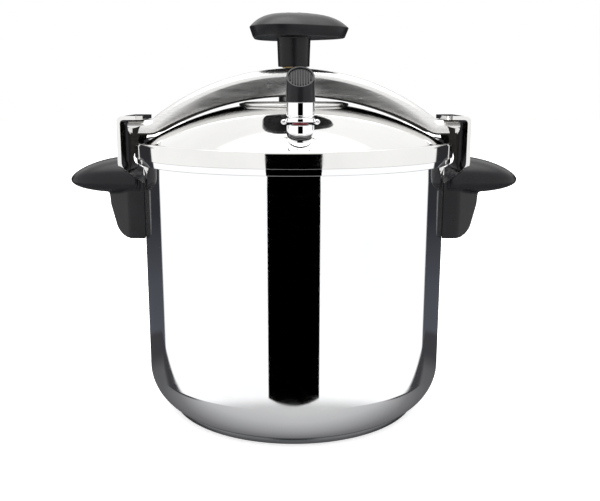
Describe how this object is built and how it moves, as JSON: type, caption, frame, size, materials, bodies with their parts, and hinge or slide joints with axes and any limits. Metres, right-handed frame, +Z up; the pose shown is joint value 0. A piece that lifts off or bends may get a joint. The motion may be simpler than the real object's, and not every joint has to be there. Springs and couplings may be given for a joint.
{
  "type": "stovetop pressure cooker",
  "caption": "Deep stainless pressure cooker with a domed lid held under two hooks by an arched bridge, a three-cornered screw knob, side grips and a turning steam valve.",
  "frame": {"origin": "middle of the base's underside, on the hob", "axes": "+X along the line of the two handles, -Y towards the operating valve, +Z up"},
  "size_m": [0.3594, 0.252, 0.3141],
  "materials": {
    "mirror_steel": "mirror-polished stainless steel",
    "bracket_steel": "polished stainless strap",
    "satin_steel": "satin-polished stainless steel",
    "chrome": "bright chrome plate",
    "plain_steel": "turned steel",
    "aluminium": "pressed core",
    "brass": "plain washer",
    "bakelite": "satin black moulded bakelite",
    "rubber": "moulded grey rubber",
    "red_plastic": "red moulded ring"
  },
  "bodies": {
    "pot": {"pot_body": "mirror_steel", "base_core": "aluminium", "base_cover": "mirror_steel", "hook_bracket_right": "bracket_steel", "hook_bracket_left": "bracket_steel", "handle_right": "bakelite", "handle_left": "bakelite", "handle_nut_right": "plain_steel", "handle_nut_left": "plain_steel", "handle_screw_right": "plain_steel", "handle_screw_left": "plain_steel"},
    "lid": {"lid": "mirror_steel", "gasket": "rubber", "pressure_plate": "satin_steel", "thrust_socket": "plain_steel", "socket_collar": "plain_steel", "valve_base": "satin_steel", "valve_cup": "chrome", "valve_seal": "rubber", "valve_nut": "plain_steel", "valve_nozzle": "plain_steel", "safety_base": "satin_steel", "safety_seal": "rubber", "safety_nut": "plain_steel", "safety_body": "satin_steel", "safety_spring": "plain_steel"},
    "bridge": {"bridge": "satin_steel", "bridge_bush": "plain_steel"},
    "knob": {"spindle": "plain_steel", "knob_washer": "brass", "knob": "bakelite", "knob_nut": "plain_steel", "knob_cap": "satin_steel"},
    "indicator": {"indicator_ring": "red_plastic"},
    "valve_collar": {"valve_ring": "chrome"},
    "valve_head": {"valve_sleeve": "chrome", "valve_cap": "bakelite", "valve_spring": "plain_steel"},
    "valve_plunger": {"valve_plunger": "plain_steel"},
    "safety_pin": {"safety_pin": "plain_steel"}
  },
  "joints": [
    {"name": "lid_turn", "type": "hinge", "parent": "pot", "child": "lid", "pos_m": [0, 0, 0.21], "axis": [0, 0, 1], "continuous": true},
    {"name": "knob_turn", "type": "hinge", "parent": "lid", "child": "knob", "pos_m": [0, 0, 0.26], "axis": [0, 0, 1], "range_deg": [0, 240]},
    {"name": "bridge_drop", "type": "slide", "parent": "lid", "child": "bridge", "axis": [0, 0, -1], "range_m": [0, 0.001]},
    {"name": "indicator_rise", "type": "slide", "parent": "lid", "child": "indicator", "axis": [0, 0, 1], "range_m": [0, 0.0012]},
    {"name": "valve_lift", "type": "slide", "parent": "lid", "child": "valve_collar", "axis": [0, 0, 1], "range_m": [0, 0.012]},
    {"name": "valve_turn", "type": "hinge", "parent": "valve_collar", "child": "valve_head", "pos_m": [0.00448, -0.09499, 0.24], "axis": [0, 0, 1], "continuous": true},
    {"name": "plunger_lift", "type": "slide", "parent": "valve_head", "child": "valve_plunger", "axis": [0, 0, 1], "range_m": [0, 0.0015], "stiffness_N_per_m": 300, "springref_m": -0.003, "deforming": ["valve_spring"]},
    {"name": "safety_lift", "type": "slide", "parent": "lid", "child": "safety_pin", "axis": [0, 0, 1], "range_m": [0, 0.002], "stiffness_N_per_m": 500, "springref_m": -0.003, "deforming": ["safety_spring"]}
  ],
  "couplings": [
    {"joint": "bridge_drop", "follows": "knob_turn", "m_per_rad": 0.00023873}
  ]
}
